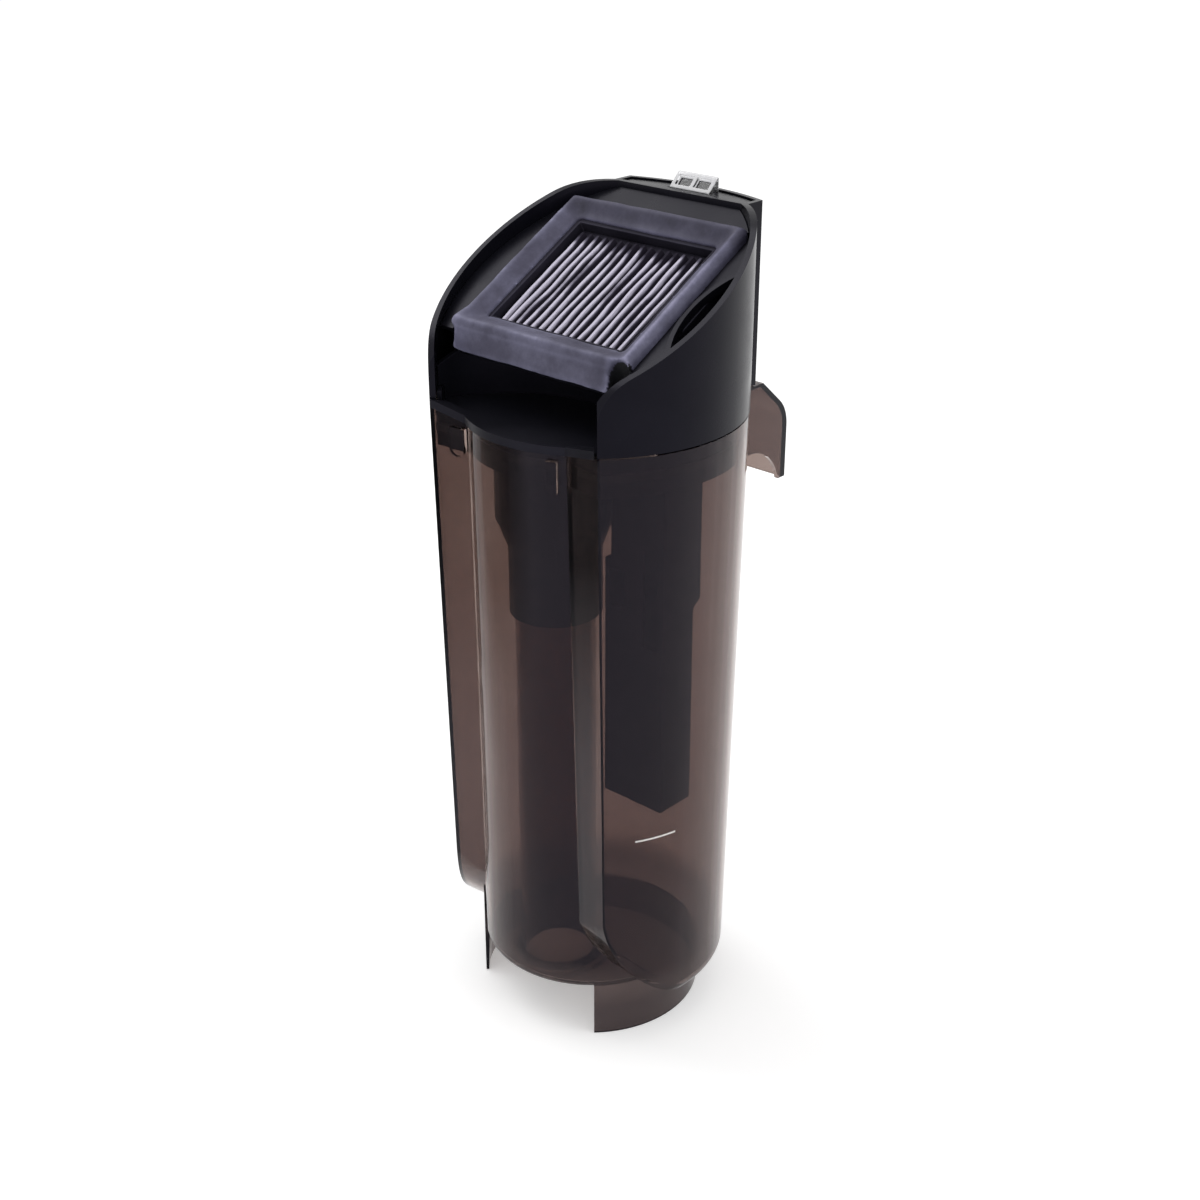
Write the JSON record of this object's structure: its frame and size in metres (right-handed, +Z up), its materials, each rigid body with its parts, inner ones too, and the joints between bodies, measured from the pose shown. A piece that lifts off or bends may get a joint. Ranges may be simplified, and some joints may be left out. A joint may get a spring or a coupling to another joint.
{
  "type": "vacuum cleaner dust bin assembly",
  "caption": "Smoked clear dust bin with lift-out riser tube, black lid collar, slanted pleated filter in a rubber frame, inlet duct, rear scoop grip and clear release latch.",
  "frame": {"origin": "centre of the bounding box on the surface that the foot skirt stands on", "axes": "+Z up along the bin's axis, +Y towards the scoop handle and the back cover, -Y the open front of the lid"},
  "size_m": [0.152, 0.1628, 0.4234],
  "materials": {
    "smoked_clear": "tinted clear plastic, smooth",
    "black_plastic": "satin moulded plastic",
    "collar_black": "satin to semi-gloss moulded plastic",
    "seal_rubber": "soft matt rubber",
    "frame_rubber": "soft grey rubber",
    "clear_latch": "clear plastic, smooth",
    "filter_paper": "pleated filter sheet, matt",
    "spring_steel": "bright steel",
    "zinc_steel": "zinc plated"
  },
  "bodies": {
    "bin": {"dust_bin": "smoked_clear", "riser_tube": "smoked_clear", "floor_port_seal": "seal_rubber"},
    "lid": {"upper_housing": "collar_black", "lid_base": "black_plastic", "lid_gasket": "seal_rubber", "filter_tray": "black_plastic", "pre_screen": "black_plastic", "inlet_chamber": "black_plastic", "inlet_duct": "black_plastic", "riser_hood": "black_plastic", "back_cover": "collar_black", "latch_plate": "collar_black", "latch_guide": "black_plastic", "latch_spring": "spring_steel", "tray_screws": "zinc_steel", "cover_screws": "zinc_steel", "duct_screws": "zinc_steel"},
    "filter": {"filter_seal_frame": "frame_rubber", "filter_cassette": "black_plastic", "pleated_media": "filter_paper", "media_grid": "black_plastic"},
    "latch": {"release_latch": "clear_latch"}
  },
  "joints": [
    {"name": "lid_lift", "type": "slide", "parent": "bin", "child": "lid", "axis": [0, 0, 1], "range_m": [0, 0.23]},
    {"name": "filter_lift", "type": "slide", "parent": "lid", "child": "filter", "axis": [0, -0.4802, 0.8771], "range_m": [0, 0.06]},
    {"name": "latch_press", "type": "slide", "parent": "lid", "child": "latch", "axis": [0, 0, -1], "range_m": [0, 0.004], "stiffness_N_per_m": 400, "springref_m": -0.003, "deforming": ["latch_spring"]}
  ]
}
